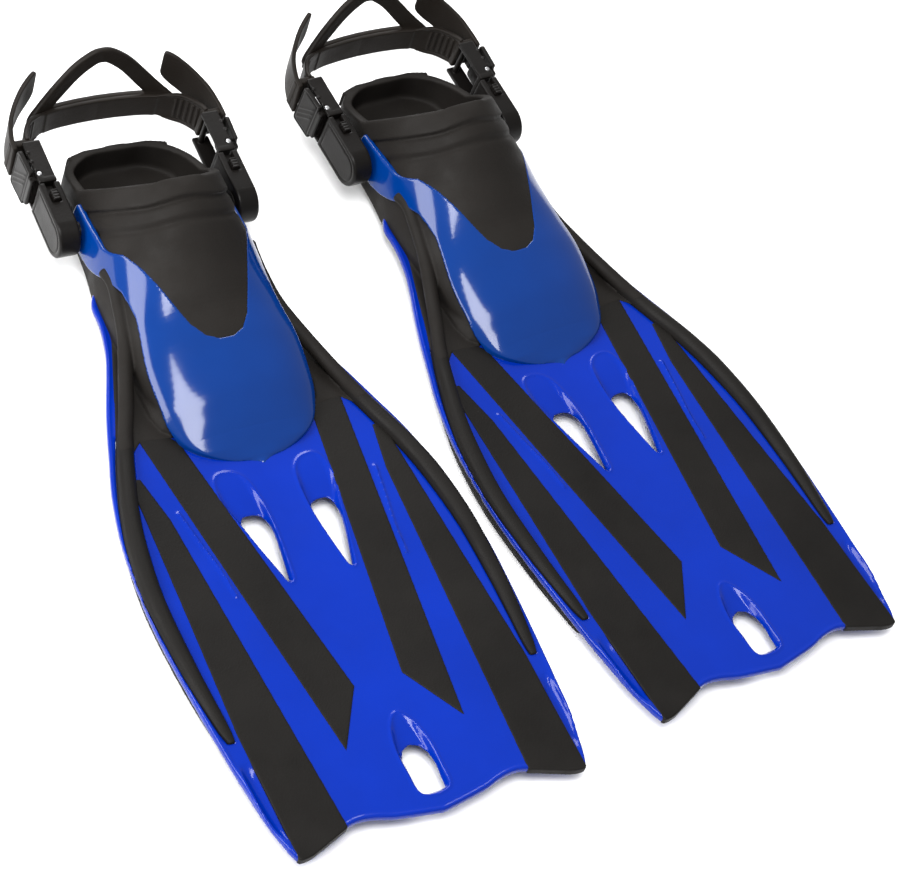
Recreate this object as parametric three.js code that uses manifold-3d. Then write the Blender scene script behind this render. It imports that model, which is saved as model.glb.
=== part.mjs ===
// A pair of adjustable open-heel swim fins lying flat side by side.
// Units are millimetres. Each fin is drawn in its own frame: +X to the right, +Y towards the heel,
// +Z up from the floor, with the blade tip on the -Y side. The two fins are identical.
import * as THREE from 'three';
import { mergeVertices } from 'three/addons/utils/BufferGeometryUtils.js';
import Module from 'manifold-3d';

const wasm = await Module();
wasm.setup();

const GAP = 0.3;
const SLIVER = 0.02;
const DEG = Math.PI / 180;

// Where the second fin lies, measured from the first.
const SECOND_FIN = { x: 221.4, y: 19.4, turn: 4.68 * DEG };

// Blade: a flat plate with rubber inlays let into its upper face.
const BLADE_BOTTOM = 10.5;
const BLADE_TOP = 15.5;
const INLAY_DEPTH = 1.5;
const INLAY_PROUD = 1.3;

// Half outlines, as [x, y] from the heel end round to the centre of the tip.
const BLADE_SIDE = [
  [43, 112], [50, 104], [62, 74], [78, 36], [88.5, 6], [98, -23], [105.5, -60], [109, -106], [107.5, -150],
  [103.5, -203], [98.5, -245], [94, -264],
];
const BLADE_TIP = [[91, -270], [75, -267], [57, -260.5], [48, -259.5], [39, -261], [27, -264.5], [0, -269]];
const INNER_INLAY = [[50, 2], [66, 3], [37.9, -218], [15.3, -181]];
const OUTER_INLAY = [[77.5, -19], [85, -35], [89, -120], [92.5, -190], [91, -262], [88, -267.5], [74, -264.5], [57.6, -258.5]];

// Side rails: stations of [x centre, y, half width, height of the top].
const RAIL = [
  [88.5, 0, 5, 21], [92.5, -25, 5.5, 22], [97.5, -62, 6, 22], [100, -106, 6, 21], [99.6, -145, 5, 20],
  [97.6, -182, 3.6, 18], [97, -192, 2, 17],
];
const RAIL_FOOT = 0;

// Vents through the blade, [x, y] half shapes of the two toe vents and the one near the tip.
const TOE_VENT = { x: 22, top: -53, tip: -104, lean: -2, width: 15 };
const TIP_VENT = { top: -225, bottom: -255, width: 16 };

// Foot pocket: stations of [y, half width, height, squareness], closed at the toe and at the heel cup.
const POCKET = [
  [-3, 16, 20, 2], [0, 28, 23, 2], [9, 42, 28, 2], [24, 50, 36, 2.2], [50, 54, 45, 2.6], [72, 54, 52, 2.4],
  [95, 53, 64, 1.9], [120, 51.5, 78, 1.9], [145, 49, 90, 2.1], [170, 46.5, 97, 2.4], [190, 44.5, 101, 2.5],
  [206, 39, 103, 2.5], [216, 28, 104, 2.5], [221, 14, 104, 2.5],
];
const WIDEST = 18;
const POCKET_WALL = 3.8;
const SOLE_CUT = 0.8;
const POCKET_FLOOR = 17.6;
const MOUTH = [[143, 120], [143, 88], [181, 48], [207, 38], [242, 32], [242, 120]];
const LIP_HEIGHT = 8;
const LIP_PROUD = 1.4;
const FLANK = [[36, 128], [43, 122], [49, 101], [59.5, 74], [75.5, 36], [85, 7], [83, 4], [69, 4.5], [46, 5]];
const FLANK_TOP = 21;

// Toe hood: stations like the pocket's, and its side outline as [y, z].
const HOOD = [
  [-19, 7, 16.4, 2], [-17, 17, 17.5, 2], [-11, 31, 20.5, 2], [-3, 41, 25, 2], [8, 47.5, 31.5, 2],
  [24, 53.6, 39.4, 2.2], [50, 57.4, 48.4, 2.6], [72, 57.4, 55.4, 2.4], [95, 56.5, 67.4, 1.9], [120, 55, 81.4, 1.9],
  [145, 52.5, 93.4, 2.1], [172, 50, 100, 2.4],
];
const HOOD_SIDE = [
  [-25, 15.8], [-25, 90], [40, 90], [46, 55], [53, 47.5], [72, 50.5], [101, 54], [120, 52], [133, 49], [147, 48],
  [160, 48], [168, 45], [172, 37], [169, 28], [160, 24], [146, 25], [134, 29], [124, 34], [115, 40], [100, 44],
  [81, 43], [56, 36], [23, 25], [9, 18], [4, 15.8],
];

// Buckles: the pivot of the heel strap, and the tilt of each buckle.
const PIVOT = { x: 53.5, y: 160, z: 35, radius: 6 };
const POST_COLLAR = 8.5;
const BUCKLE_TILT = 6 * DEG;
const SOCKET = { front: -14, back: 30, half: 14, thick: 14 };
const PLUG = { front: 9, back: 62, half: 14.5, neck: 6.2 };
const LEVER = { front: 33, back: 56, half: 15.5, thick: 3 };
const BUTTON = { front: 15, back: 23, out: 16.6 };
const ARM = [9.3, 11];

// Heel strap: centre line of the right half, from the buckle to the back of the heel.
const STRAP_PATH = [[61, 223.6, 41.9], [59.5, 230, 41], [52, 241, 39.5], [36, 249.5, 37.5], [18, 253.3, 36], [0, 254.5, 35.5]];
const STRAP_WIDTH = 24;
const STRAP_THICK = 3;
const TAIL_PATH = [[71.2, 217.5, 41], [70.5, 227, 42.5], [67, 239, 45], [59.5, 251, 48], [49, 260, 51.5]];

// Heel pad: a band behind the strap that carries a finger loop.
const PAD_THICK = 4;
const LOOP_PATH = [[40, 253, 43], [31, 257, 53], [16, 260.5, 71], [6, 261.5, 79.5], [0, 261.8, 81]];

const BLUE = { color: 0x0a35c4, roughness: 0.25, metalness: 0 };
const RUBBER = { color: 0x26231f, roughness: 0.75, metalness: 0 };
const BLACK_PLASTIC = { color: 0x1b1918, roughness: 0.45, metalness: 0 };
const STEEL = { color: 0xb9bcc0, roughness: 0.3, metalness: 1 };

// ---- solids ----

function toSolid(geometry) {
  const plain = geometry.clone();
  plain.deleteAttribute('normal');
  plain.deleteAttribute('uv');
  const merged = mergeVertices(plain, 1e-4);
  return new wasm.Manifold(new wasm.Mesh({
    numProp: 3,
    vertProperties: new Float32Array(merged.attributes.position.array),
    triVerts: new Uint32Array(merged.index.array),
  }));
}

function toGeometry(solid) {
  const mesh = solid.simplify(SLIVER).getMesh();
  const geometry = new THREE.BufferGeometry();
  geometry.setAttribute('position', new THREE.Float32BufferAttribute(mesh.vertProperties, 3));
  geometry.setIndex(new THREE.BufferAttribute(mesh.triVerts, 1));
  return geometry;
}

function joined(first, ...rest) {
  return rest.reduce((sum, next) => sum.add(next), first);
}

function without(body, ...tools) {
  return tools.reduce((left, tool) => left.subtract(tool), body);
}

// Upright plate from a plan outline of [x, y] points.
function plate(points, bottom, top) {
  const shape = new THREE.Shape(points.map(([x, y]) => new THREE.Vector2(x, y)));
  const geometry = new THREE.ExtrudeGeometry(shape, { depth: top - bottom, bevelEnabled: false, curveSegments: 6 });
  geometry.translate(0, 0, bottom);
  return toSolid(geometry);
}

// Body cut out by a side outline of [y, z] points, from one x to another.
function sidePlate(points, from, to) {
  const shape = new THREE.Shape(points.map(([y, z]) => new THREE.Vector2(y, z)));
  const geometry = new THREE.ExtrudeGeometry(shape, { depth: to - from, bevelEnabled: false, curveSegments: 6 });
  const axes = new THREE.Matrix4().makeBasis(
    new THREE.Vector3(0, 1, 0), new THREE.Vector3(0, 0, 1), new THREE.Vector3(1, 0, 0));
  geometry.applyMatrix4(axes);
  geometry.translate(from, 0, 0);
  return toSolid(geometry);
}

// Skin through rings of equal length, each a list of Vector3, closed with a fan at both ends.
function loft(rings) {
  const count = rings[0].length;
  const points = rings.flat();
  const faces = [];
  for (let r = 0; r + 1 < rings.length; r += 1) {
    for (let i = 0; i < count; i += 1) {
      const a = r * count + i;
      const b = r * count + (i + 1) % count;
      faces.push(a, b, b + count, a, b + count, a + count);
    }
  }
  const centre = (ring) => ring.reduce((sum, p) => sum.add(p), new THREE.Vector3()).divideScalar(count);
  const last = (rings.length - 1) * count;
  points.push(centre(rings[0]), centre(rings.at(-1)));
  for (let i = 0; i < count; i += 1) {
    faces.push(rings.length * count, (i + 1) % count, i);
    faces.push(rings.length * count + 1, last + i, last + (i + 1) % count);
  }
  const geometry = new THREE.BufferGeometry().setFromPoints(points);
  geometry.setIndex(faces);
  return toSolid(geometry);
}

function smooth(points, count) {
  const curve = new THREE.CatmullRomCurve3(points.map((p) => new THREE.Vector3(...p)), false, 'centripetal');
  return curve.getPoints(count);
}

function smoothPlan(points, count) {
  return smooth(points.map(([x, y]) => [x, y, 0]), count).map((p) => [p.x, p.y]);
}

function mirroredLoop(half) {
  return [...half, ...half.toReversed().slice(1).map(([x, y]) => [-x, y])];
}

// Plan outline grown evenly outwards.
function grown(points, distance) {
  const count = points.length;
  const area = points.reduce((sum, [x, y], i) => {
    const [nx, ny] = points[(i + 1) % count];
    return sum + x * ny - nx * y;
  }, 0);
  const sign = Math.sign(area);
  return points.map(([x, y], i) => {
    const [px, py] = points[(i + count - 1) % count];
    const [nx, ny] = points[(i + 1) % count];
    const before = new THREE.Vector2(x - px, y - py).normalize();
    const after = new THREE.Vector2(nx - x, ny - y).normalize();
    const normal = new THREE.Vector2(before.y + after.y, -before.x - after.x).normalize().multiplyScalar(sign);
    const miter = 1 / Math.max(0.4, Math.abs(normal.x * before.y - normal.y * before.x));
    return [x + normal.x * distance * miter, y + normal.y * distance * miter];
  });
}

// Flat band swept along a path; its width runs along the given direction.
function ribbon(path, widthDirection, width, thickness) {
  const rings = path.map((point, i) => {
    const ahead = path[Math.min(i + 1, path.length - 1)];
    const behind = path[Math.max(i - 1, 0)];
    const along = ahead.clone().sub(behind).normalize();
    const across = along.clone().cross(widthDirection).normalize();
    const up = across.clone().cross(along).normalize();
    const wide = typeof width === 'function' ? width(i / (path.length - 1)) : width;
    const half = [wide / 2, thickness / 2];
    const soft = Math.min(0.8, half[1] * 0.6);
    const corners = [
      [half[0], half[1] - soft], [half[0] - soft, half[1]], [soft - half[0], half[1]], [-half[0], half[1] - soft],
      [-half[0], soft - half[1]], [soft - half[0], -half[1]], [half[0] - soft, -half[1]], [half[0], soft - half[1]],
    ];
    return corners.map(([w, t]) => point.clone().addScaledVector(up, w).addScaledVector(across, t));
  });
  return loft(rings);
}

function mirrored(solid) {
  return solid.mirror([1, 0, 0]);
}

// ---- buckle frame: u along the buckle towards the heel, v across the strap, w outwards ----

const BUCKLE_FRAME = new THREE.Matrix4().makeBasis(
  new THREE.Vector3(0, Math.cos(BUCKLE_TILT), Math.sin(BUCKLE_TILT)),
  new THREE.Vector3(0, -Math.sin(BUCKLE_TILT), Math.cos(BUCKLE_TILT)),
  new THREE.Vector3(1, 0, 0),
).setPosition(PIVOT.x, PIVOT.y, PIVOT.z);

function inBuckle(geometry) {
  geometry.applyMatrix4(BUCKLE_FRAME);
  return toSolid(geometry);
}

function buckleBox(u, v, w) {
  const box = new THREE.BoxGeometry(u[1] - u[0], v[1] - v[0], w[1] - w[0]);
  box.translate((u[0] + u[1]) / 2, (v[0] + v[1]) / 2, (w[0] + w[1]) / 2);
  return inBuckle(box);
}

function buckleDisc(u, radius, w) {
  const disc = new THREE.CylinderGeometry(radius, radius, w[1] - w[0], 20);
  disc.rotateX(Math.PI / 2);
  disc.translate(u, 0, (w[0] + w[1]) / 2);
  return inBuckle(disc);
}

function buckleRod(u, w, radius, half) {
  const rod = new THREE.CylinderGeometry(radius, radius, 2 * half, 12);
  rod.translate(u, 0, w);
  return inBuckle(rod);
}

function bucklePrism(points, v) {
  const shape = new THREE.Shape(points.map(([u, w]) => new THREE.Vector2(u, w)));
  const geometry = new THREE.ExtrudeGeometry(shape, { depth: v[1] - v[0], bevelEnabled: false });
  geometry.rotateX(Math.PI / 2);
  geometry.translate(0, v[1], 0);
  return inBuckle(geometry);
}

// ---- blade and its inlays ----

function railOutline(extra) {
  const path = smooth(RAIL, 10);
  const widths = smooth(RAIL.map(([, y, half]) => [half, y, 0]), 10).map((p) => p.x);
  const right = path.map((p, i) => [p.x + widths[i] + extra, p.y]);
  const left = path.map((p, i) => [p.x - widths[i] - extra, p.y]);
  left[0][1] += extra;
  right[0][1] += extra;
  left.at(-1)[1] -= extra;
  right.at(-1)[1] -= extra;
  return [...right, ...left.toReversed()];
}

function rail() {
  const centre = smooth(RAIL.map(([x, y, , top]) => [x, y, top]), 10);
  const widths = smooth(RAIL.map(([, y, half]) => [half, y, 0]), 10).map((p) => p.x);
  return loft(centre.map((p, i) => {
    const half = widths[i];
    const top = p.z;
    const outline = [
      [0.55, RAIL_FOOT], [1, RAIL_FOOT + 3], [1, top - 4], [0.75, top - 1.2], [0.3, top],
      [-0.3, top], [-0.75, top - 1.2], [-1, top - 4], [-1, RAIL_FOOT + 3], [-0.55, RAIL_FOOT],
    ];
    return outline.map(([side, z]) => new THREE.Vector3(p.x + side * half, p.y, z));
  }));
}

function toeVent() {
  const { x, top, tip, lean, width } = TOE_VENT;
  const points = [
    [x - width / 2, top - 9], [x - width / 3, top - 2], [x, top], [x + width / 3, top - 4],
    [x + width / 2, top - 14], [x + lean + 2, tip], [x + lean - 2, tip],
  ];
  return plate(points, 0, 30);
}

function tipVent() {
  const { top, bottom, width } = TIP_VENT;
  const half = width / 2;
  const points = [[-half, top - 5], [-half * 0.6, top - 1], [0, top], [half * 0.6, top - 1], [half, top - 5],
    [half * 0.92, bottom], [-half * 0.92, bottom]];
  return plate(points, 0, 30);
}

function inlay(points) {
  return plate(points, BLADE_TOP - INLAY_DEPTH + GAP, BLADE_TOP + INLAY_PROUD);
}

function inlayBed(points) {
  return plate(grown(points, GAP), BLADE_TOP - INLAY_DEPTH, BLADE_TOP + 5);
}

function blade() {
  const half = [...smoothPlan(BLADE_SIDE, 16), ...smoothPlan(BLADE_TIP, 10)];
  const sheet = plate(mirroredLoop(half), BLADE_BOTTOM, BLADE_TOP);
  const rightSide = joined(inlayBed(INNER_INLAY), inlayBed(OUTER_INLAY), plate(railOutline(GAP), 0, 30), toeVent());
  return without(sheet, rightSide, mirrored(rightSide), tipVent());
}

// ---- foot pocket and toe hood ----

// Ring standing across the fin: flat below, widest near the floor and domed above.
function ovalRing([y, half, height, squareness], bottom, extra) {
  const ring = [];
  const count = 20;
  for (let i = 0; i < count; i += 1) {
    const angle = (i / count) * 2 * Math.PI;
    const rise = Math.abs(Math.sin(angle));
    const below = Math.sin(angle) < 0;
    const side = Math.sign(Math.cos(angle)) * Math.sqrt(1 - rise ** (below ? 4 : squareness));
    const z = below
      ? WIDEST - (WIDEST - bottom + extra) * Math.min(1, rise / SOLE_CUT)
      : WIDEST + (height - WIDEST + extra) * rise;
    ring.push(new THREE.Vector3(-side * (half + extra), y, z));
  }
  return ring;
}

function pocketBody(extra, bottom) {
  const stations = POCKET.map(([y, ...shape], i) => {
    const end = i === 0 ? -extra : i === POCKET.length - 1 ? extra : 0;
    return [y + end, ...shape];
  });
  return loft(stations.map((station) => ovalRing(station, bottom, extra)));
}

function pocketLip() {
  const band = MOUTH.slice(1, 5);
  const below = band.map(([y, z]) => [y - LIP_HEIGHT * 0.6, z - LIP_HEIGHT * 0.8]);
  const slab = sidePlate([...band, ...below.toReversed()], -80, 80);
  return pocketBody(LIP_PROUD, 0).intersect(slab);
}

function footPocket() {
  const flank = plate(FLANK, BLADE_TOP + GAP, FLANK_TOP);
  const postHole = buckleDisc(0, PIVOT.radius + GAP, [-20, 20]);
  const bladeBed = plate(grown(mirroredLoop([...smoothPlan(BLADE_SIDE.slice(0, 7), 12), [60, -60], [0, -60]]), GAP),
    BLADE_BOTTOM - GAP, BLADE_TOP + GAP);
  return without(
    joined(pocketBody(0, 0), pocketLip(), flank, mirrored(flank)),
    pocketBody(-POCKET_WALL, POCKET_FLOOR - POCKET_WALL),
    sidePlate(MOUTH, -90, 90),
    hoodBody(GAP),
    bladeBed,
    postHole,
    mirrored(postHole),
  );
}

function hoodBody(extra) {
  const shell = loft(HOOD.map((station) => ovalRing(station, 4, extra)));
  const side = sidePlate(grown(HOOD_SIDE, extra), -90, 90);
  return without(shell.intersect(side), pocketBody(GAP - extra, GAP - extra));
}

function toeHood() {
  const collarSeat = buckleDisc(0, POST_COLLAR + GAP, [-1.5, 20]);
  const postHole = joined(buckleDisc(0, PIVOT.radius + GAP, [-20, 20]), collarSeat);
  return without(hoodBody(0), postHole, mirrored(postHole));
}

// ---- buckles ----

function post() {
  return joined(
    buckleDisc(0, PIVOT.radius, [-8, 10]),
    buckleDisc(0, POST_COLLAR, [-1.2, -0.2]),
  );
}

function socket() {
  const { front, back, half, thick } = SOCKET;
  const shell = joined(buckleDisc(0, half, [0, thick]), buckleBox([0, back], [-half, half], [0, thick]));
  const tongueRoom = buckleBox([PLUG.front - GAP, back + 1], [-11.4, 11.4], [4, 10]);
  const notches = buckleBox([BUTTON.front - GAP, back + 1], [-half - 1, half + 1], [4, 10]);
  const bore = buckleDisc(0, PIVOT.radius + 0.15, [-1, 10.4]);
  return without(shell, tongueRoom, notches, bore);
}

function plug() {
  const { front, back, half, neck } = PLUG;
  const cheek = buckleBox([SOCKET.back + GAP, back], [half - 2.6, half], [1.5, 13]);
  const tongue = buckleBox([front, SOCKET.back + 3.6], [-neck, neck], [4 + GAP, 10 - GAP]);
  const frontBar = buckleBox([SOCKET.back + GAP, SOCKET.back + 3.6], [-half, half], [1.5, 10.5]);
  const crossBar = buckleRod(back - 4, 6, 2, half - 1);
  const lowerCheek = buckleBox([SOCKET.back + GAP, back], [-half, 2.6 - half], [1.5, 13]);
  const pinHole = buckleRod(LEVER.front + 4, 10.6, 1.6 + GAP, half + 3);
  return without(joined(tongue, frontBar, cheek, lowerCheek, crossBar), pinHole);
}

function button(side) {
  const { front, back, out } = BUTTON;
  const span = (from, to) => (side > 0 ? [from, to] : [-to, -from]);
  return joined(
    buckleBox([front - 4, SOCKET.back - 1], span(ARM[0], ARM[1]), [4.6, 9.4]),
    buckleBox([front, back], span(ARM[0], out), [4.6, 9.4]),
  );
}

function lever() {
  const { front, back, half, thick } = LEVER;
  const inner = PLUG.half - 2.6 - GAP;
  const top = SOCKET.thick + GAP;
  const nose = bucklePrism([[front, top], [front + 5, top], [front + 5, top + thick], [front + 3, top + thick],
    [front, top + 1]], [-inner, inner]);
  const cover = bucklePrism([[front + 4, top], [back, top + 1], [back, top + 1 + thick], [front + 4, top + thick]],
    [-half, half]);
  const cam = bucklePrism([[front + 1, 9], [front + 3, 7.4], [front + 7, 8], [front + 8, top + 0.5], [front + 1, top + 0.5]],
    [-inner, inner]);
  return without(joined(nose, cover, cam), buckleRod(front + 4, 10.6, 1.6 + 0.06, half + 2));
}

function leverPin() {
  return buckleRod(LEVER.front + 4, 10.6, 1.6, PLUG.half);
}

// ---- heel strap ----

const UP = new THREE.Vector3(0, 0, 1);

function heelStrap() {
  const half = smooth(STRAP_PATH, 9);
  const whole = [...half, ...half.toReversed().slice(1).map((p) => new THREE.Vector3(-p.x, p.y, p.z))];
  const band = ribbon(whole, UP, STRAP_WIDTH, STRAP_THICK);
  const tail = ribbon(smooth(TAIL_PATH, 6), UP, STRAP_WIDTH, STRAP_THICK);
  const root = buckleBox([54, 64], [-11, 11], [9.6, 12.2]);
  const turn = buckleBox([61.5, 66.5], [-11, 11], [4, 19.5]);
  const end = joined(tail, turn);
  return joined(band, end, mirrored(end));
}

function heelPad() {
  const away = STRAP_THICK / 2 + GAP + PAD_THICK / 2;
  const half = smooth(STRAP_PATH.slice(2).map(([x, y, z]) => [x * (1 + away / 62), y + away, z]), 7);
  const across = (path) => [...path, ...path.toReversed().slice(1).map((p) => new THREE.Vector3(-p.x, p.y, p.z))];
  const band = ribbon(across(half), UP, 20, PAD_THICK);
  const loop = ribbon(across(smooth(LOOP_PATH, 6)), new THREE.Vector3(0, 0.2, 1), 8, 4.4);
  return joined(band, loop);
}

// ---- assembly ----

function finPieces() {
  const both = (name, solid, look) => [[`${name}_l`, mirrored(solid), look], [`${name}_r`, solid, look]];
  return [
    ['blade', blade(), BLUE],
    ['toe_hood', toeHood(), BLUE],
    ['foot_pocket', footPocket(), RUBBER],
    ...both('rail', rail(), RUBBER),
    ...both('inner_inlay', inlay(INNER_INLAY), RUBBER),
    ...both('outer_inlay', inlay(OUTER_INLAY), RUBBER),
    ...both('strap_post', post(), BLACK_PLASTIC),
    ...both('buckle_socket', socket(), BLACK_PLASTIC),
    ...both('buckle_plug', plug(), BLACK_PLASTIC),
    ...both('upper_button', button(1), BLACK_PLASTIC),
    ...both('lower_button', button(-1), BLACK_PLASTIC),
    ...both('cam_lever', lever(), BLACK_PLASTIC),
    ...both('lever_pin', leverPin(), STEEL),
    ['heel_strap', heelStrap(), RUBBER],
    ['heel_pad', heelPad(), RUBBER],
  ];
}

function addFin(group, prefix, place) {
  for (const [name, solid, look] of finPieces()) {
    const geometry = toGeometry(solid);
    geometry.applyMatrix4(place);
    geometry.computeVertexNormals();
    const mesh = new THREE.Mesh(geometry, new THREE.MeshStandardMaterial(look));
    mesh.name = `${prefix}_${name}`;
    group.add(mesh);
  }
}

function centreOnFloor(group) {
  const box = new THREE.Box3().setFromObject(group);
  const middle = box.getCenter(new THREE.Vector3());
  group.children.forEach((mesh) => mesh.geometry.translate(-middle.x, -middle.y, -box.min.z));
  return middle;
}

const pair = new THREE.Group();
pair.name = 'swim_fins';
addFin(pair, 'left', new THREE.Matrix4());
addFin(pair, 'right', new THREE.Matrix4().makeRotationZ(SECOND_FIN.turn).setPosition(SECOND_FIN.x, SECOND_FIN.y, 0));
centreOnFloor(pair);

export default pair;
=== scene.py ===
"""Looks of a pair of swim fins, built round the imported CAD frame.

Every piece is drawn once, in millimetres, in the frame of one fin (+X right, +Y towards the heel,
+Z up, blade tip at -Y), and then set down for both fins.
"""

import math

import bpy
import numpy as np
from mathutils import Matrix, Vector


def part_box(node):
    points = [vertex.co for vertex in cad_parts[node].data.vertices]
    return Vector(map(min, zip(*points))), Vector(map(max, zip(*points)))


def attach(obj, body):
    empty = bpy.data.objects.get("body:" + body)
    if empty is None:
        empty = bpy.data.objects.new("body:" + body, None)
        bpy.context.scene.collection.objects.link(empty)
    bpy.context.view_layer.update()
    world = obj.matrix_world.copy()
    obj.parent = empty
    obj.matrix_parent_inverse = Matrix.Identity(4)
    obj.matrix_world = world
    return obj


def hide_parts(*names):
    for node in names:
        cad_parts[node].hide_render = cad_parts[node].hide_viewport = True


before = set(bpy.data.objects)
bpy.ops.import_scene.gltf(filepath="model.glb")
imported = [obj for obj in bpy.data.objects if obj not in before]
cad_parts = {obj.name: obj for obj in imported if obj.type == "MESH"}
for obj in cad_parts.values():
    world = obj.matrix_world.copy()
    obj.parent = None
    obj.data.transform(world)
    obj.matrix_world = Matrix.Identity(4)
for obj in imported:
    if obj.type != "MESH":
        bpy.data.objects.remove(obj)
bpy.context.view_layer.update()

MM = 0.001
SIDES = ("left", "right")

# Where the second fin lies from the first: metres along x and y, and its turn.
SECOND_FIN = (0.2214, 0.0194, math.radians(4.68))

# Camera: place from the origin of the left fin, direction, roll and lens.
CAMERA_FROM_FIN = (-0.5911, -0.7534, 1.1736)
CAMERA_LOOKS = (0.4658, 0.4659, -0.7523)
CAMERA_ROLL = math.radians(23.2)
CAMERA_LENS = 98.5

# Blade and inlays. Plans are of the right half, as (x, y).
BLADE_BOTTOM = 10.7
BLADE_TOP = 15.3
BLADE_SIDE = [
    (48, 130), (54.5, 118), (55.5, 104), (58, 90), (63, 73), (78, 36), (88.5, 6), (98, -23),
    (105.5, -60), (109, -106), (107.5, -150), (103.5, -203), (101.5, -222), (98.5, -245), (94, -264),
]
BLADE_TIP = [
    (94, -264), (91, -270), (84, -270), (75, -267), (57, -260.5), (48, -259.5), (39, -261),
    (27, -264.5), (0, -269),
]
INNER_INLAY = [(44, 4), (50, 13), (67.5, 13), (37.9, -218), (15.3, -181)]
OUTER_INLAY = [
    (71, -46), (77, -14), (84, -12), (86, -54), (89, -120), (92.5, -190), (91.5, -275), (57.6, -275),
    (57.6, -258),
]
# Middle line of the rail from the pocket to the tip: (x, y, half width, top).
RAIL = [
    (74, 18, 5.2, 22.5), (77.5, 9, 5.4, 22), (81, 0, 5.6, 21.5), (86.5, -16, 5.8, 21.8),
    (92.5, -35, 5.8, 22), (98, -60, 6, 22), (102, -98, 5.6, 21), (101.2, -145, 4.8, 20),
    (98.3, -182, 3.4, 18), (97.3, -193, 2, 17),
]
RAIL_TIP = -194
RAIL_START = 18
RAIL_FOOT_START = 2
# Vents in the blade: a scoop runs down into each hole. A fine bead lies outside the toe vents.
TOE_SCOOP = [
    (31, -23.5), (21, -25.5), (15, -36), (13.2, -61), (17, -98), (19, -105), (22, -105), (24, -98),
    (32.4, -62), (37, -44), (36, -30),
]
TOE_HOLE = [
    (23, -54), (29, -56), (30, -70), (22.5, -99), (20.5, -103), (19, -99), (14.5, -69), (16.5, -57),
]
HALF_TIP_SCOOP = [(0, -204), (7, -212), (10.5, -226), (10.5, -240), (8.5, -256)]
HALF_TIP_HOLE = [(0, -224), (5, -226), (8.4, -232), (9, -240), (7.6, -255)]
BEAD = [(65, -43), (61, -67), (57.2, -87), (55.5, -106)]

# Foot pocket and hood stations: (y, half width, height, squareness), widest at one height.
WIDEST = 18
POCKET = [
    (-6, 6, 18.5, 2), (-3, 16, 20, 2), (0, 28, 23, 2), (9, 42, 28, 2), (24, 50, 36, 2.2),
    (50, 54, 45, 2.6), (72, 54, 52, 2.4), (95, 53, 64, 1.9), (120, 51.5, 78, 1.9), (145, 47.5, 90, 2.1),
    (170, 45, 97, 2.4), (190, 43, 101, 2.5), (206, 39, 103, 2.5), (216, 28, 104, 2.5),
    (221, 14, 104, 2.5), (223, 5, 104, 2.5),
]
HOOD = [
    (-22, 2, 15.5, 2), (-19, 9, 16.4, 2), (-17, 17, 17.5, 2), (-11, 31, 20.5, 2), (-3, 41, 25, 2),
    (8, 47.5, 31.5, 2), (24, 53.6, 39.4, 2.2), (50, 57.2, 48.4, 2.6), (72, 57.2, 55.4, 2.4),
    (95, 56.3, 67.4, 1.9), (120, 54.8, 81.4, 1.9), (145, 52.4, 93.4, 2.1), (172, 50, 100, 2.4),
    (190, 48, 104, 2.5),
]

# Walls and limits of the pocket and hood, and the side and plan outlines that cut their openings.
WALL = 3.8
FLOOR_TOP = 17.6
POCKET_END = 222
POCKET_TOP = 90.8
TONGUE_RISE = 2.8
HOOD_GAP = 0.8
MOUTH = [(143, 160), (143, 88), (181, 48), (207, 38), (250, 31), (250, 160)]
TONGUE = [
    (-8, 50), (5, 50.5), (12, 54), (18.5, 63), (26, 82), (33.5, 101), (41, 118), (52, 130), (75, 142),
    (75, 260), (-8, 260),
]
TONGUE_SIDE = [
    (40, 20), (90, 38), (108, 50), (120, 52), (133, 49), (147, 48), (172, 46), (260, 46), (260, 160),
    (40, 160),
]
HOOD_SIDE = [
    (-25, 12), (-25, 120), (176, 120), (172, 46), (173, 37), (169, 28), (160, 24), (146, 25), (134, 29),
    (124, 34), (115, 40), (100, 44), (81, 43), (56, 36), (23, 25), (9, 18), (0, 12),
]

# Rubber that spreads from the pocket over the blade, and its raised middle, in plan.
FLANK_TOP = 15.95
FLANK = [
    (36, 128), (43, 122), (49, 101), (59, 74), (73, 36), (80, 18), (84, 4), (80, -3), (70, 8), (67, 11),
    (46, 9),
]
SHOULDER = [
    (40, 10), (46, 10), (52, 15), (55, 26), (55, 48), (51, 66), (46, 92), (43, 118), (25, 118),
    (25, 10),
]
# Ridge that runs on from the rail up the side of the pocket: (x, y, z).
RIDGE_RADIUS = 4.3
RIDGE = [
    (81, -1, 17), (77.5, 9, 17.5), (74, 18, 18.5), (69, 30, 20.5), (60, 54, 24.5), (51, 80, 30),
    (47.5, 100, 36), (46.5, 112, 40), (48, 122, 40),
]

# Buckle frame: u along the buckle towards the heel, v across the strap, w outwards.
PIVOT = (53.5, 160, 35)
BUCKLE_TILT = math.radians(6)
POST_RADIUS = 6
SOCKET_LENGTH = 30
SOCKET_HALF_WIDTH = 14
SOCKET_DEPTH = 14
CHEEK_OUTER = 14.5
CAM_HALF_WIDTH = 11.6
PIN_U = 37
PIN_W = 10.6
PIN_RADIUS = 1.6
BAR_U = 58
BAR_W = 6

# Centre lines of half of the heel strap and of one tail, and half of the finger loop as (along, up).
STRAP_PATH = [
    (61, 223.6, 41.9), (59.5, 230, 41), (52, 241, 39.5), (36, 249.5, 37.5), (18, 253.3, 36),
    (0, 254.5, 35.5),
]
TAIL_PATH = [(71.2, 217.5, 41), (70.5, 227, 43), (66.5, 239, 48), (57, 251.5, 55), (44, 261.5, 63)]
HALF_LOOP = [(0, 42), (6, 40.5), (17, 32), (33, 14), (45, 3)]
STRAP_HALF_THICK = 1.5
STRAP_HALF_WIDTH = 12
PAD_MIDDLE = 3.9


# ---- numbers ----

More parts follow.
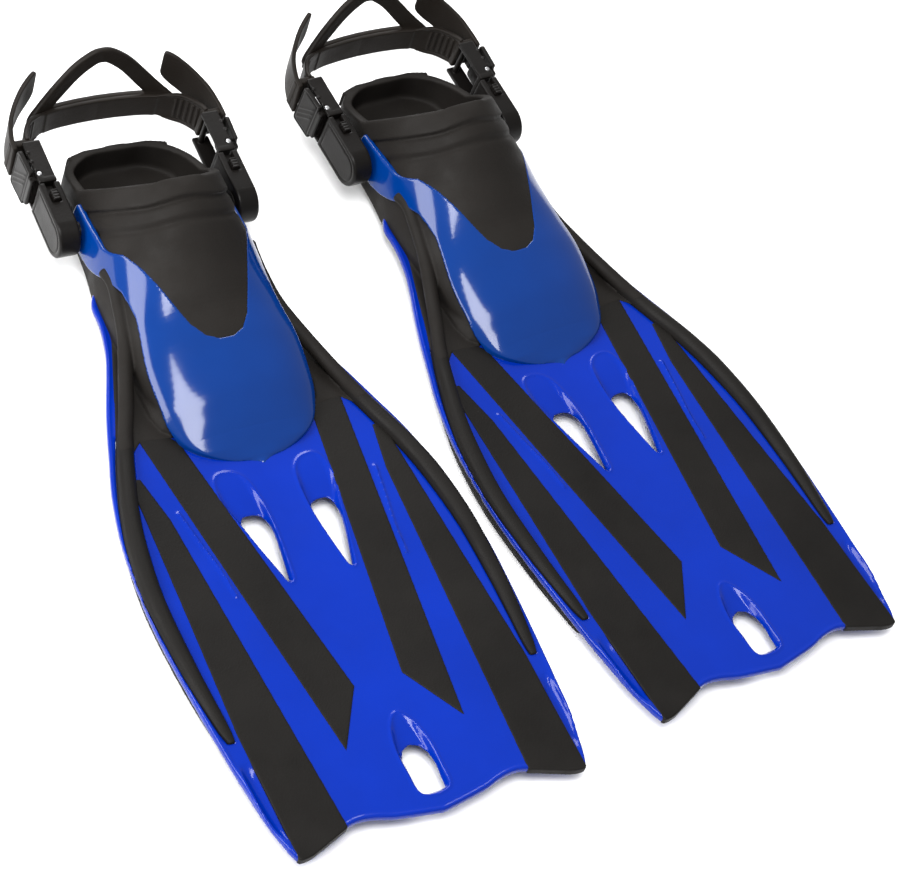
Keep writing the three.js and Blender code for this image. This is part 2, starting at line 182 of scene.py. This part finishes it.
def smooth(points, per_span=8):
    """Catmull-Rom curve through the points."""
    p = np.asarray(points, float)
    p = np.vstack([2 * p[0] - p[1], p, 2 * p[-1] - p[-2]])
    t = np.linspace(0, 1, per_span, endpoint=False)[:, None]
    spans = [
        0.5 * (2 * b + (c - a) * t + (2 * a - 5 * b + 4 * c - d) * t**2 + (3 * b - a - 3 * c + d) * t**3)
        for a, b, c, d in zip(p, p[1:], p[2:], p[3:])
    ]
    return np.vstack([*spans, p[-2:-1]])


def smooth_loop(points, per_span=4):
    """Catmull-Rom curve that closes on itself."""
    return smooth([points[-1], *points, points[0], points[1]], per_span)[per_span:-per_span - 1]


def mirror_line(half):
    """A line that starts on the mirror plane, with its mirror image in front of it."""
    return [(-x, y) for x, y in half[:0:-1]] + list(half)


def ridge_of(distance, width):
    """Height of a rounded bead, one at its middle."""
    return np.exp(-((distance / width) ** 2))


def ramp(value, start, end):
    """Smooth step from nought to one."""
    t = np.clip((value - start) / (end - start), 0, 1)
    return t * t * (3 - 2 * t)


def both(a, b, soft=0.0):
    """Where two bodies meet, with a rounded edge of that size."""
    if not soft:
        return np.maximum(a, b)
    h = np.clip(0.5 + 0.5 * (a - b) / soft, 0, 1)
    return b * (1 - h) + a * h + soft * h * (1 - h)


def either(a, b, soft=0.0):
    """Two bodies joined, with a fillet of that size."""
    return -both(-a, -b, soft)


def outline_distance(points, x, y):
    """Distance to a closed outline, negative inside."""
    p = np.asarray(points, np.float32)
    nearest = np.full(np.broadcast(x, y).shape, 1e9, np.float32)
    inside = np.zeros(nearest.shape, bool)
    for (x0, y0), (x1, y1) in zip(p, np.roll(p, -1, axis=0)):
        ex, ey = x1 - x0, y1 - y0
        t = np.clip(((x - x0) * ex + (y - y0) * ey) / (ex * ex + ey * ey + 1e-9), 0, 1)
        nearest = np.minimum(nearest, (x - x0 - t * ex) ** 2 + (y - y0 - t * ey) ** 2)
        if ey:
            inside ^= ((y0 <= y) != (y1 <= y)) & (x < x0 + (y - y0) * ex / ey)
    return np.where(inside, -1, 1) * np.sqrt(nearest)


def line_distance(points, x, y):
    """Distance to an open line."""
    p = np.asarray(points, np.float32)
    nearest = np.full(np.broadcast(x, y).shape, 1e9, np.float32)
    for (x0, y0), (x1, y1) in zip(p, p[1:]):
        ex, ey = x1 - x0, y1 - y0
        t = np.clip(((x - x0) * ex + (y - y0) * ey) / (ex * ex + ey * ey), 0, 1)
        nearest = np.minimum(nearest, (x - x0 - t * ex) ** 2 + (y - y0 - t * ey) ** 2)
    return np.sqrt(nearest)


def grid(low, high, step):
    """Coordinates of a regular grid, as three sparse arrays."""
    axes = [np.arange(a, b + s, s, dtype=np.float32) for a, b, s in zip(low, high, step)]
    return np.meshgrid(*axes, indexing="ij", sparse=True)


def net_vertices(field, cells):
    """For each cell, the mean of the points where its edges cross the skin, in steps from its corner."""
    summed = np.zeros((len(cells), 3))
    crossings = np.zeros(len(cells))
    for corner in np.ndindex(2, 2, 2):
        for axis in range(3):
            if corner[axis]:
                continue
            start = cells + corner
            end = start.copy()
            end[:, axis] += 1
            f0 = field[tuple(start.T)]
            f1 = field[tuple(end.T)]
            cut = (f0 < 0) != (f1 < 0)
            place = np.tile(np.array(corner, float), (len(cells), 1))
            place[:, axis] += np.where(cut, f0 / np.where(cut, f0 - f1, 1), 0)
            summed += place * cut[:, None]
            crossings += cut
    return summed / crossings[:, None]


def net_faces(inside, index):
    """One four-sided face round each grid edge that crosses the skin."""
    faces = []
    for axis in range(3):
        first = [slice(1, -1)] * 3
        second = [slice(1, -1)] * 3
        first[axis] = slice(0, -1)
        second[axis] = slice(1, None)
        at = np.argwhere(inside[tuple(first)] != inside[tuple(second)])
        step_b, step_c = np.roll(np.eye(3, dtype=int), -axis - 1, axis=0)[:2]
        at += step_b + step_c
        was_inside = inside[tuple(at.T)][:, None]
        ring = [at, at - step_b, at - step_b - step_c, at - step_c]
        quad = np.stack([index[tuple(cell.T)] for cell in ring], 1)
        faces.append(np.where(was_inside, quad, quad[:, ::-1]))
    return np.vstack(faces)


def skin(field, low, step):
    """Surface net: the zero level of a field on a grid, as vertices and four-sided faces."""
    field = field.astype(np.float32)
    inside = field < 0
    total = np.zeros([n - 1 for n in field.shape], np.int8)
    for corner in np.ndindex(2, 2, 2):
        total += inside[tuple(slice(c, n - 1 + c) for c, n in zip(corner, field.shape))]
    mixed = (total > 0) & (total < 8)
    cells = np.argwhere(mixed)
    index = np.full(mixed.shape, -1, np.int64)
    index[mixed] = np.arange(len(cells))
    vertices = np.array(low) + np.array(step) * (cells + net_vertices(field, cells))
    return vertices, net_faces(inside, index)


def mirrored(shape):
    """The shape on the other side of the fin."""
    vertices, faces = shape
    return vertices * (-1, 1, 1), faces[:, ::-1]


def merged(*shapes):
    """Several shapes as one."""
    counts = np.cumsum([0] + [len(v) for v, _ in shapes])
    return np.vstack([v for v, _ in shapes]), np.vstack([f + n for (_, f), n in zip(shapes, counts)])


# ---- blade ----

def blade_outline():
    """The whole edge of the blade, from one corner of the toe round the tip to the other."""
    right = np.vstack([smooth(BLADE_SIDE, 6)[:-1], smooth(BLADE_TIP, 5)])
    return np.vstack([right, right[::-1][1:] * (-1, 1)])


def rail_profile(y):
    """Middle, half width and top of the rail at y."""
    line = smooth(RAIL)[::-1]
    return [np.interp(y, line[:, 1], line[:, i]) for i in (0, 2, 3)]


def rail_plan(grow):
    """Outline of the rail seen from above, grown by that much."""
    line = smooth(RAIL, 4)
    right = line[:, :2] + np.c_[line[:, 2] + grow, np.zeros(len(line))]
    left = line[:, :2] - np.c_[line[:, 2] + grow, np.zeros(len(line))]
    return np.vstack([right, left[::-1]])


def scoop(x, y, outline, start, end, depth):
    """Slope that runs down into a vent, with a fine raised lip round it."""
    d = outline_distance(outline, x, y)
    slope = depth * ramp(y, start, end) * ramp(d, 0.4, -3.2)
    return 0.55 * ridge_of(d - 0.4, 0.8) - slope


def tip_scoop(x, y):
    """Long shallow hollow with a raised outer rim beside each tip corner."""
    along = (y + 232) / 27
    across = x - 94.3 - 0.075 * (y + 232)
    hollow = ridge_of(across, 4.2) * ramp(1 - along**2, 0, 0.8)
    rim = ridge_of(x - 100, 1.6) * ramp(1 - along**2, 0, 0.7)
    return 1.5 * rim - 2.6 * hollow


def blade():
    """Flat blade with its vents, scoops, beads and a thin raised edge."""
    low, high, step = (-112, -273, 6), (112, 132, 20), (0.9, 0.9, 0.6)
    x, y, z = grid(low, high, step)
    ax = np.abs(x)
    plan = outline_distance(blade_outline(), x, y)
    top = BLADE_TOP + 0.5 * ridge_of(plan + 1.5, 0.8)
    top = top + scoop(ax, y, smooth_loop(TOE_SCOOP), -24, -60, 3.8)
    top = top + scoop(x, y, smooth_loop(mirror_line(HALF_TIP_SCOOP)), -203, -228, 3.6)
    top = top + tip_scoop(ax, y)
    top = top + ridge_of(line_distance(smooth(BEAD, 4), ax, y), 1.1)
    toe_holes = outline_distance(smooth_loop(TOE_HOLE), ax, y)
    tip_hole = outline_distance(mirror_line(HALF_TIP_HOLE), x, y)
    rails = outline_distance(rail_plan(0.15), ax, y)
    plan = both(plan, -np.minimum(np.minimum(toe_holes, tip_hole), rails), 0.3)
    return skin(both(plan, both(z - top, BLADE_BOTTOM - z), 1.3), low, step)


def inlay(outline, clip_to_blade=False):
    """Rubber strip set in the blade, which wraps the edge of the tip where it reaches it."""
    xs, ys = zip(*outline)
    low, high, step = (min(xs) - 3, min(ys) - 3, 8), (max(xs) + 3, max(ys) + 3, 19), (0.8, 0.8, 0.45)
    x, y, z = grid(low, high, step)
    plan = outline_distance(outline, x, y)
    bottom = BLADE_TOP - 1.3
    if clip_to_blade:
        edge = outline_distance(blade_outline(), x, y)
        plan = both(plan, edge - 0.7, 0.8)
        bottom = bottom - 3.6 * ramp(edge, -1.6, -0.4)
    return skin(both(plan, both(z - BLADE_TOP - 0.5, bottom - z), 0.6), low, step)


def rail():
    """Round beam on a web, with a collar that grips the edge of the blade and a foot on the floor."""
    low, high, step = (68, -197, -1.5), (110, 24, 28), (0.7, 0.9, 0.6)
    x, y, z = grid(low, high, step)
    centre, half, top = rail_profile(y)
    across = np.abs(x - centre)
    beam = np.hypot(np.maximum(across - 0.1 * half, 0), z - (top - half)) - 0.9 * half
    web = both(across - 0.78 * half, np.abs(z - top / 2) - (top / 2 - 3.0), 1.2)
    collar = both(across - half, np.abs(z - 15) - 1.6, 0.8)
    field = either(either(beam, web, 1.0), collar, 1.0)
    foot = both(across - 0.6 * half, np.abs(z - 6) - 6, 1.5)
    field = either(field, both(foot, y - RAIL_FOOT_START), 1.0)
    field = both(field, both(y - RAIL_START, RAIL_TIP - y), 1.5)
    return skin(field, low, step)


# ---- foot pocket and hood ----

def oval(stations, x, y, z):
    """Distance to the skin through oval stations, near that skin."""
    line = smooth(stations, 6)
    half, height, power = [np.interp(y, line[:, 0], line[:, i]).astype(np.float32) for i in (1, 2, 3)]
    widest = np.minimum(WIDEST, height - 3)
    rise = ((z - widest) / (height - widest)).clip(0, 3)
    drop = ((widest - z) / WIDEST * 0.8).clip(0, 3)
    value = (x / half) ** 2 + rise**power + drop**4 - 1
    step = (x[1, 0, 0] - x[0, 0, 0], y[0, 1, 0] - y[0, 0, 0], z[0, 0, 1] - z[0, 0, 0])
    slope = np.gradient(value, *[float(s) for s in step])
    around = slope[0] ** 2 + slope[2] ** 2
    steep = np.sqrt(around + slope[1] ** 2)
    return np.maximum(value / np.maximum(steep, 0.004), value / np.maximum(np.sqrt(around), 0.004) - 8)


def tongue(x, y, z):
    """Where the rubber comes up through the opening of the hood, negative inside."""
    return both(outline_distance(TONGUE, np.abs(x), y), outline_distance(TONGUE_SIDE, y, z), 7)


def rim_bands(mouth):
    """Height of the two bands round the mouth, each with a groove beside it."""
    bands = 1.4 * ramp(mouth, 14, 12) + 0.9 * ramp(mouth, 26, 22)
    return bands - 0.8 * ridge_of(mouth - 14.5, 1.5) - 0.7 * ridge_of(mouth - 27, 1.8)


def flank(ax, y, z):
    """Rubber that spreads over the blade, raised in its middle."""
    inside = -outline_distance(SHOULDER, ax, y)
    top = FLANK_TOP + 1.1 * ramp(inside, -0.4, 0.8) + 0.9 * np.clip(inside, 0, 12)
    return both(outline_distance(FLANK, ax, y), both(z - top, 14 - z), 0.5)


def rail_ridge(ax, y, z):
    """Round ridge that runs on from the rail."""
    line = smooth(RIDGE, 6)
    middle_x, middle_z = [np.interp(y, line[:, 1], line[:, i]) for i in (0, 2)]
    ridge = np.hypot((ax - middle_x) * 0.85, z - middle_z) - RIDGE_RADIUS
    return both(ridge, both(y - 122, 4 - y), 2)


def blade_slot(ax, y, z):
    """Slot along the flank that the edge of the blade sits in."""
    bed = both(outline_distance(blade_outline(), ax, y), np.abs(z - 13) - 2.4)
    return both(bed, 70 - ax)


def pocket():
    """Hollow foot pocket with its tongue, rim bands, flanks and ridges."""
    low, high, step = (-90, -8, -2), (90, 226, 98), (0.9, 0.9, 0.8)
    x, y, z = grid(low, high, step)
    ax = np.abs(x)
    body = both(oval(POCKET, x, y, z), y - POCKET_END, 3)
    mouth = outline_distance(MOUTH, y, z)
    proud = TONGUE_RISE * ramp(tongue(x, y, z), 3.0, 0.5) * ramp(y, 165, 110)
    outer = both(body - proud - rim_bands(mouth), both(-z, z - POCKET_TOP), 1.5)
    outer = either(either(outer, flank(ax, y, z), 1.5), rail_ridge(ax, y, z), 1.2)
    hollow = both(both(body + WALL, FLOOR_TOP - z, 4), 3 - y, 3)
    field = both(both(outer, -hollow, 1.2), -mouth, 1.6)
    return skin(both(field, -blade_slot(ax, y, z)), low, step)


def hood():
    """Thin shell over the toes, open where the tongue comes through, with an arm on each side."""
    low, high, step = (-62, -24, 12), (62, 176, 60), (0.8, 0.8, 0.7)
    x, y, z = grid(low, high, step)
    inner = both(oval(POCKET, x, y, z) - HOOD_GAP, -3 - y)
    shell = both(oval(HOOD, x, y, z), -inner, 0.6)
    edge = both(outline_distance(HOOD_SIDE, y, z), -tongue(x, y, z), 0.8)
    field = both(both(shell, edge, 1.2), BLADE_TOP - 0.6 - z)
    return skin(field, low, step)


# ---- buckles ----

def out_of_buckle(shape):
    """From the buckle frame to the frame of the fin."""
    vertices, faces = shape
    u, v, w = vertices.T
    cos, sin = math.cos(BUCKLE_TILT), math.sin(BUCKLE_TILT)
    placed = np.stack([PIVOT[0] + w, PIVOT[1] + u * cos - v * sin, PIVOT[2] + u * sin + v * cos], 1)
    return placed, faces


def block(u, v, w, spans, soft=0.8):
    """Box with rounded edges."""
    parts = [np.abs(a - (lo + hi) / 2) - (hi - lo) / 2 for a, (lo, hi) in zip((u, v, w), spans)]
    return both(both(parts[0], parts[1], soft), parts[2], soft)


def buckle_skin(make, low, high, step=0.4):
    """Skin of a field given in the buckle frame."""
    spacing = (step, step, step)
    return out_of_buckle(skin(make(*grid(low, high, spacing)), low, spacing))


def from_pin(u, w):
    """Distance to the axis of the lever pin."""
    return np.hypot(u - PIN_U, w - PIN_W)


def socket_field(u, v, w):
    """Buckle half that turns on the post, hollow for the plug, with a groove along its outer face."""
    half_length, half_depth = SOCKET_LENGTH / 2, SOCKET_DEPTH / 2
    sides = np.maximum(np.abs(u - half_length) - half_length, np.abs(v) - SOCKET_HALF_WIDTH)
    plan = either(np.hypot(u, v) - SOCKET_HALF_WIDTH, sides)
    groove = 0.6 * ridge_of(plan + 3.6, 0.6) * (w > 8)
    body = both(plan, np.abs(w - half_depth) - half_depth + groove, 1.8)
    body = both(body, u - SOCKET_LENGTH, 1)
    room = block(u, v, w, ((8.7, 34), (-11.4, 11.4), (4, 10)), 0.3)
    notch = block(u, v, w, ((14.7, 34), (-20, 20), (4, 10)), 0.3)
    bore = both(np.hypot(u, v) - POST_RADIUS - 0.06, w - 10.4)
    return both(body, -np.minimum(np.minimum(room, notch), bore), 0.5)


def plug_field(u, v, w):
    """Buckle half with the tongue, two cheeks with studs and the bar the strap turns round."""
    tongue = block(u, v, w, ((9, 33.6), (-6.2, 6.2), (4.3, 9.7)))
    head = block(u, v, w, ((30.3, 33.6), (-CHEEK_OUTER, CHEEK_OUTER), (1.5, 10.5)), 0.6)
    cheek = block(u, np.abs(v), w, ((30.3, 62), (11.9, CHEEK_OUTER), (1.5, 13)), 1.0)
    bar = both(np.hypot(u - BAR_U, w - BAR_W) - 2, np.abs(v) - 13.5)
    hole = from_pin(u, w) - 1.9
    studs = np.hypot(np.hypot((u - 46 + 3.5) % 7 - 3.5, w - 12.6), np.abs(v) - 14) - 1.3
    studs = both(studs, np.abs(u - 49) - 9)
    return both(either(either(either(either(tongue, head), cheek, 0.4), bar), studs, 0.4), -hole)


def upper_button_field(u, v, w):
    """Release button on its arm, with fine grips."""
    arm = block(u, v, w, ((11, 29), (9.3, 11), (4.6, 9.4)), 0.5)
    head = block(u, v, w, ((15, 23), (9.3, 16.6), (4.6, 9.4)), 0.9)
    grip = 0.4 * ridge_of((u - 17.9) % 2.2 - 1.1, 0.5) * (v > 14)
    return either(arm, head + grip, 0.6)


def lower_button_field(u, v, w):
    """The same button on the lower edge of the buckle."""
    return upper_button_field(u, -v, w)


def lever_field(u, v, w):
    """Cover plate with slanting ridges and a rim, and the cam under it."""
    lift = (u - 33) / 23
    plan = both(both(np.abs(v) - 15.5, u - 56, 3.0), 37 - u, 1.0)
    plate = both(plan, np.abs(w - (15.8 + lift)) - 1.5, 0.9)
    nose = block(u, v, w, ((33, 39), (-CAM_HALF_WIDTH, CAM_HALF_WIDTH), (14.3, 17.2)), 1.0)
    cam = both(both(from_pin(u, w) - 3.4, np.abs(v) - CAM_HALF_WIDTH, 0.5), w - 15)
    neck = block(u, v, w, ((34, 40.5), (-CAM_HALF_WIDTH, CAM_HALF_WIDTH), (10, 15.5)), 0.8)
    slant = (v + 0.9 * (u - 46)) / 1.35
    ridges = sum(ridge_of(slant - s, 0.75) for s in (-3.2, 0, 3.2))
    ridges = ridges * ramp(np.abs(u - 47), 7.5, 5.5) * (w > 16)
    rim = 0.5 * ridge_of(plan + 1.6, 0.6) * (w > 16)
    field = either(either(either(plate - 0.5 * ridges + rim, nose, 0.6), cam, 0.4), neck, 0.6)
    return both(field, PIN_RADIUS + 0.1 - from_pin(u, w))


def pin_field(u, v, w):
    """Steel pin of the lever."""
    return both(from_pin(u, w) - PIN_RADIUS, np.abs(v) - CHEEK_OUTER, 0.3)


def post_field(u, v, w):
    """Post with a thin collar that stands out of the side of the pocket."""
    shank = both(np.hypot(u, v) - POST_RADIUS, both(w - 10, -8 - w), 0.8)
    collar = both(np.hypot(u, v) - 8.5, np.abs(w + 0.7) - 0.5, 0.3)
    return either(shank, collar, 0.4)


# ---- heel strap and pad ----

def run_along(line):
    """Distance run along a line seen from above."""
    return np.r_[0, np.cumsum(np.linalg.norm(np.diff(line[:, :2], axis=0), axis=1))]


def strap_line():
    """Centre line round the heel, and the distance along it from the middle."""
    half = smooth(STRAP_PATH, 8)
    line = np.vstack([half * (-1, 1, 1), half[::-1][1:]])
    run = run_along(line)
    return line, run - run[-1] / 2


def bent(shape, line, run):
    """Bends a shape drawn flat, as (run, outwards, height), round the line."""
    vertices, faces = shape
    s, n, h = vertices.T
    x, y, z = [np.interp(s, run, line[:, i]) for i in range(3)]
    beyond = np.clip(s - run[-1], 0, None) + np.clip(s - run[0], None, 0)
    tangent = np.gradient(line[:, :2], run, axis=0)
    tangent /= np.linalg.norm(tangent, axis=1)[:, None]
    tx, ty = [np.interp(s, run, tangent[:, i]) for i in range(2)]
    placed = np.stack([x + tx * beyond - ty * n, y + ty * beyond + tx * n, z + h], 1)
    return placed, faces


def strap_band():
    """Band round the heel, narrower behind, with teeth in a recess on its inner face."""
    line, run = strap_line()
    reach = run[-1]
    low, high, step = (-reach - 2, -3.5, -14), (reach + 2, 3.5, 14), (0.7, 0.35, 0.7)
    s, n, h = grid(low, high, step)
    along = np.abs(s)
    teeth = 0.8 * ramp(np.sin(2 * math.pi * along / 4.2), -0.3, 0.5) * ramp(np.abs(h), 9, 7.5)
    teeth = teeth * ramp(np.abs(along - 66), 16, 14) * (n < 0)
    recess = 0.7 * ramp(np.abs(h), 10, 9.2) * ramp(np.abs(along - 60), 21, 20) * (n < 0)
    half = STRAP_HALF_WIDTH - 3.3 * ramp(along, 54, 38)
    faces = np.abs(n) - STRAP_HALF_THICK + recess - teeth
    field = both(both(faces, np.abs(h) - half, 0.9), along - reach, 0.8)
    return bent(skin(field, low, step), line, run)


def strap_tail():
    """Free end that leaves the buckle outside the band."""
    line = smooth(TAIL_PATH, 8)
    run = run_along(line)
    line, run = line[::-1], run[-1] - run[::-1]
    low, high, step = (-2, -3.5, -14), (run[-1] + 2, 3.5, 14), (0.7, 0.35, 0.7)
    s, n, h = grid(low, high, step)
    corner = 1.5 * ramp(s, 9, 0)
    taper = both(np.abs(h) - STRAP_HALF_WIDTH + corner, -s, 4)
    field = both(both(np.abs(n) - STRAP_HALF_THICK, taper, 0.8), s - run[-1], 0.8)
    return bent(skin(field, low, step), line, run)


def strap_turn():
    """The fold of the strap behind the cross bar."""
    def field(u, v, w):
        return block(u, v, w, ((61.5, 66.5), (-11, 11), (4, 19.5)), 1.5)
    return buckle_skin(field, (60, -13, 2), (68, 13, 21))


def strap():
    """Band, folds and tails in one piece."""
    tail, turn = strap_tail(), strap_turn()
    return merged(strap_band(), tail, mirrored(tail), turn, mirrored(turn))


def pad():
    """Outer band with a finger loop standing up from it."""
    line, run = strap_line()
    low, high, step = (-58, 0, -14), (58, 13, 54), (0.7, 0.45, 0.7)
    s, n, h = grid(low, high, step)
    middle = PAD_MIDDLE + 0.08 * np.clip(h - 6, 0, None)
    plan = both(np.abs(h) - 8, np.abs(s) - 47, 5)
    band = both(plan, np.abs(n - PAD_MIDDLE) - 2, 1.4)
    thick = line_distance(smooth(mirror_line(HALF_LOOP), 4), s, h) - 5.3
    loop = both(thick, np.abs(n - middle) - 2.1, 2.0)
    return bent(skin(either(band, loop, 1.5), low, step), line, run)


# ---- materials ----

def material(name, colour, rough, tint, grain, coat=0.0, specular=0.5, wear=0.0, metallic=0.0):
    """Moulded plastic or rubber: base colour with slow tint, gloss that varies, fine grain and scuffs."""
    m = bpy.data.materials.new(name)
    m.use_nodes = True
    nodes, links = m.node_tree.nodes, m.node_tree.links
    shader = nodes["Principled BSDF"]
    shader.inputs["Specular IOR Level"].default_value = specular
    shader.inputs["Metallic"].default_value = metallic
    shader.inputs["Coat Weight"].default_value = coat
    shader.inputs["Coat Roughness"].default_value = 0.08
    place = nodes.new("ShaderNodeTexCoord")

    def noise(scale, detail, distortion=0.0):
        """Noise fixed to the piece."""
        n = nodes.new("ShaderNodeTexNoise")
        n.inputs["Scale"].default_value = scale
        n.inputs["Detail"].default_value = detail
        n.inputs["Distortion"].default_value = distortion
        links.new(place.outputs["Object"], n.inputs["Vector"])
        return n.outputs["Fac"]

    def spread(value, low, high, out_low, out_high):
        """The value, from one range to another."""
        r = nodes.new("ShaderNodeMapRange")
        r.inputs["From Min"].default_value = low
        r.inputs["From Max"].default_value = high
        r.inputs["To Min"].default_value = out_low
        r.inputs["To Max"].default_value = out_high
        links.new(value, r.inputs["Value"])
        return r.outputs["Result"]

    mix = nodes.new("ShaderNodeMix")
    mix.data_type = "RGBA"
    mix.inputs["A"].default_value = (*[c * (1 - tint) for c in colour], 1)
    mix.inputs["B"].default_value = (*[min(1, c * (1 + tint)) for c in colour], 1)
    links.new(spread(noise(18, 4), 0.3, 0.7, 0, 1), mix.inputs["Factor"])
    links.new(mix.outputs["Result"], shader.inputs["Base Color"])
    gloss = spread(noise(45, 5), 0.3, 0.7, rough * (1 - 0.18), rough * (1 + 0.22 + wear))
    links.new(gloss, shader.inputs["Roughness"])
    bump = nodes.new("ShaderNodeBump")
    scale, depth = grain
    bump.inputs["Strength"].default_value = depth
    bump.inputs["Distance"].default_value = 0.0006
    links.new(noise(scale, 6, 0.3), bump.inputs["Height"])
    links.new(bump.outputs["Normal"], shader.inputs["Normal"])
    return m


BLUE = material("blue_plastic", (0.0, 0.016, 0.235), 0.16, 0.08, (60, 0.035), coat=0.06, specular=0.2)
HOOD_BLUE = material("hood_plastic", (0.0, 0.023, 0.145), 0.12, 0.08, (60, 0.03), coat=0.15, specular=0.25)
RUBBER = material(
    "pocket_rubber", (0.0095, 0.0082, 0.0072), 0.58, 0.22, (900, 0.25), specular=0.1, wear=0.1,
)
INLAY = material("inlay_rubber", (0.0075, 0.0068, 0.0062), 0.5, 0.2, (1100, 0.3), specular=0.08)
STRAP = material("strap_rubber", (0.010, 0.008, 0.0065), 0.5, 0.22, (800, 0.3), specular=0.12)
PLASTIC = material("buckle_plastic", (0.0045, 0.0038, 0.0034), 0.36, 0.2, (700, 0.15), specular=0.14)
STEEL = material("pin_steel", (0.55, 0.55, 0.56), 0.3, 0.05, (500, 0.1), metallic=1.0)


# ---- set the pieces down ----

def fin_places():
    """Where each fin lies, from the CAD boxes of the left fin."""
    low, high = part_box("left_blade")
    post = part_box("left_strap_post_r")
    x = (low.x + high.x) / 2
    y = (post[0].y + post[1].y) / 2 - PIVOT[1] * MM
    dx, dy, turn = SECOND_FIN
    return {
        "left": Matrix.Translation((x, y, 0)),
        "right": Matrix.Translation((x + dx, y + dy, 0)) @ Matrix.Rotation(turn, 4, "Z"),
    }


PLACES = fin_places()


def put(piece, shape, body, look):
    """Sets one piece down on both fins."""
    vertices, faces = shape
    mesh = bpy.data.meshes.new(piece)
    mesh.from_pydata((vertices * MM).tolist(), [], faces.tolist())
    mesh.polygons.foreach_set("use_smooth", [True] * len(mesh.polygons))
    mesh.materials.append(look)
    for side in SIDES:
        obj = bpy.data.objects.new(f"{side}_{piece}_look", mesh)
        bpy.context.scene.collection.objects.link(obj)
        obj.matrix_world = PLACES[side]
        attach(obj, f"{side}_{body}")
        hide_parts(f"{side}_{piece}")


def put_both(piece, shape, body, look):
    """The piece on the right of the fin, and its mirror image on the left."""
    put(f"{piece}_r", shape, body.format("r"), look)
    put(f"{piece}_l", mirrored(shape), body.format("l"), look)


put("blade", blade(), "fin", BLUE)
put("toe_hood", hood(), "fin", HOOD_BLUE)
put("foot_pocket", pocket(), "fin", RUBBER)
put_both("rail", rail(), "fin", INLAY)
put_both("inner_inlay", inlay(INNER_INLAY), "fin", INLAY)
put_both("outer_inlay", inlay(OUTER_INLAY, True), "fin", INLAY)

BUCKLE_PARTS = [
    ("strap_post", post_field, (-10, -10, -9), (10, 10, 11), 0.4, "fin"),
    ("buckle_socket", socket_field, (-15, -15, -1), (32, 15, 15), 0.4, "sockets"),
    ("buckle_plug", plug_field, (8, -16.5, 0), (64, 16.5, 15), 0.4, "strap"),
    ("upper_button", upper_button_field, (10, 8, 3.5), (30, 18, 10.5), 0.35, "upper_{}"),
    ("lower_button", lower_button_field, (10, -18, 3.5), (30, -8, 10.5), 0.35, "lower_{}"),
    ("cam_lever", lever_field, (31, -17, 5), (58, 17, 20), 0.4, "lever_{}"),
]
for part, part_field, low_corner, high_corner, spacing, rides in BUCKLE_PARTS:
    part_shape = buckle_skin(part_field, low_corner, high_corner, spacing)
    put_both(part, part_shape, rides, PLASTIC)
put_both("lever_pin", buckle_skin(pin_field, (34, -16, 8), (40, 16, 13)), "strap", STEEL)
put("heel_strap", strap(), "strap", STRAP)
put("heel_pad", pad(), "strap", STRAP)


# ---- studio ----

def floor():
    """Plain pale floor."""
    bpy.ops.mesh.primitive_plane_add(size=12, location=(0, 0, -0.0005))
    plane = bpy.context.object
    m = bpy.data.materials.new("floor")
    m.use_nodes = True
    shader = m.node_tree.nodes["Principled BSDF"]
    shader.inputs["Base Color"].default_value = (0.9, 0.9, 0.9, 1)
    shader.inputs["Roughness"].default_value = 0.9
    plane.data.materials.append(m)


def soft_light(name, at, size, power):
    """Soft box aimed at the middle of the floor."""
    light = bpy.data.lights.new(name, "AREA")
    light.shape = "RECTANGLE"
    light.size, light.size_y = size
    light.energy = power
    obj = bpy.data.objects.new(name, light)
    bpy.context.scene.collection.objects.link(obj)
    obj.location = at
    obj.rotation_euler = (-Vector(at)).to_track_quat("-Z", "Y").to_euler()


def camera():
    """Camera looking down on the fins from beside the tips."""
    data = bpy.data.cameras.new("camera")
    data.lens = CAMERA_LENS
    data.sensor_width = 36
    data.clip_end = 50
    obj = bpy.data.objects.new("camera", data)
    bpy.context.scene.collection.objects.link(obj)
    turn = Vector(CAMERA_LOOKS).to_track_quat("-Z", "Y").to_matrix().to_4x4()
    at = PLACES["left"].translation + Vector(CAMERA_FROM_FIN)
    obj.matrix_world = Matrix.Translation(at) @ turn @ Matrix.Rotation(CAMERA_ROLL, 4, "Z")
    bpy.context.scene.camera = obj


def daylight():
    """Even white light from all round."""
    world = bpy.data.worlds.new("world")
    world.use_nodes = True
    background = world.node_tree.nodes["Background"]
    background.inputs["Color"].default_value = (1, 1, 1, 1)
    background.inputs["Strength"].default_value = 0.55
    bpy.context.scene.world = world


floor()
soft_light("key", (-1.5, 0.3, 0.9), (1.3, 0.8), 36)
soft_light("fill", (-0.62, -0.5, 1.8), (0.9, 0.8), 42)
soft_light("back", (0.3, 1.9, 1.3), (1.4, 1.0), 40)
daylight()
camera()
bpy.context.scene.view_settings.view_transform = "Standard"
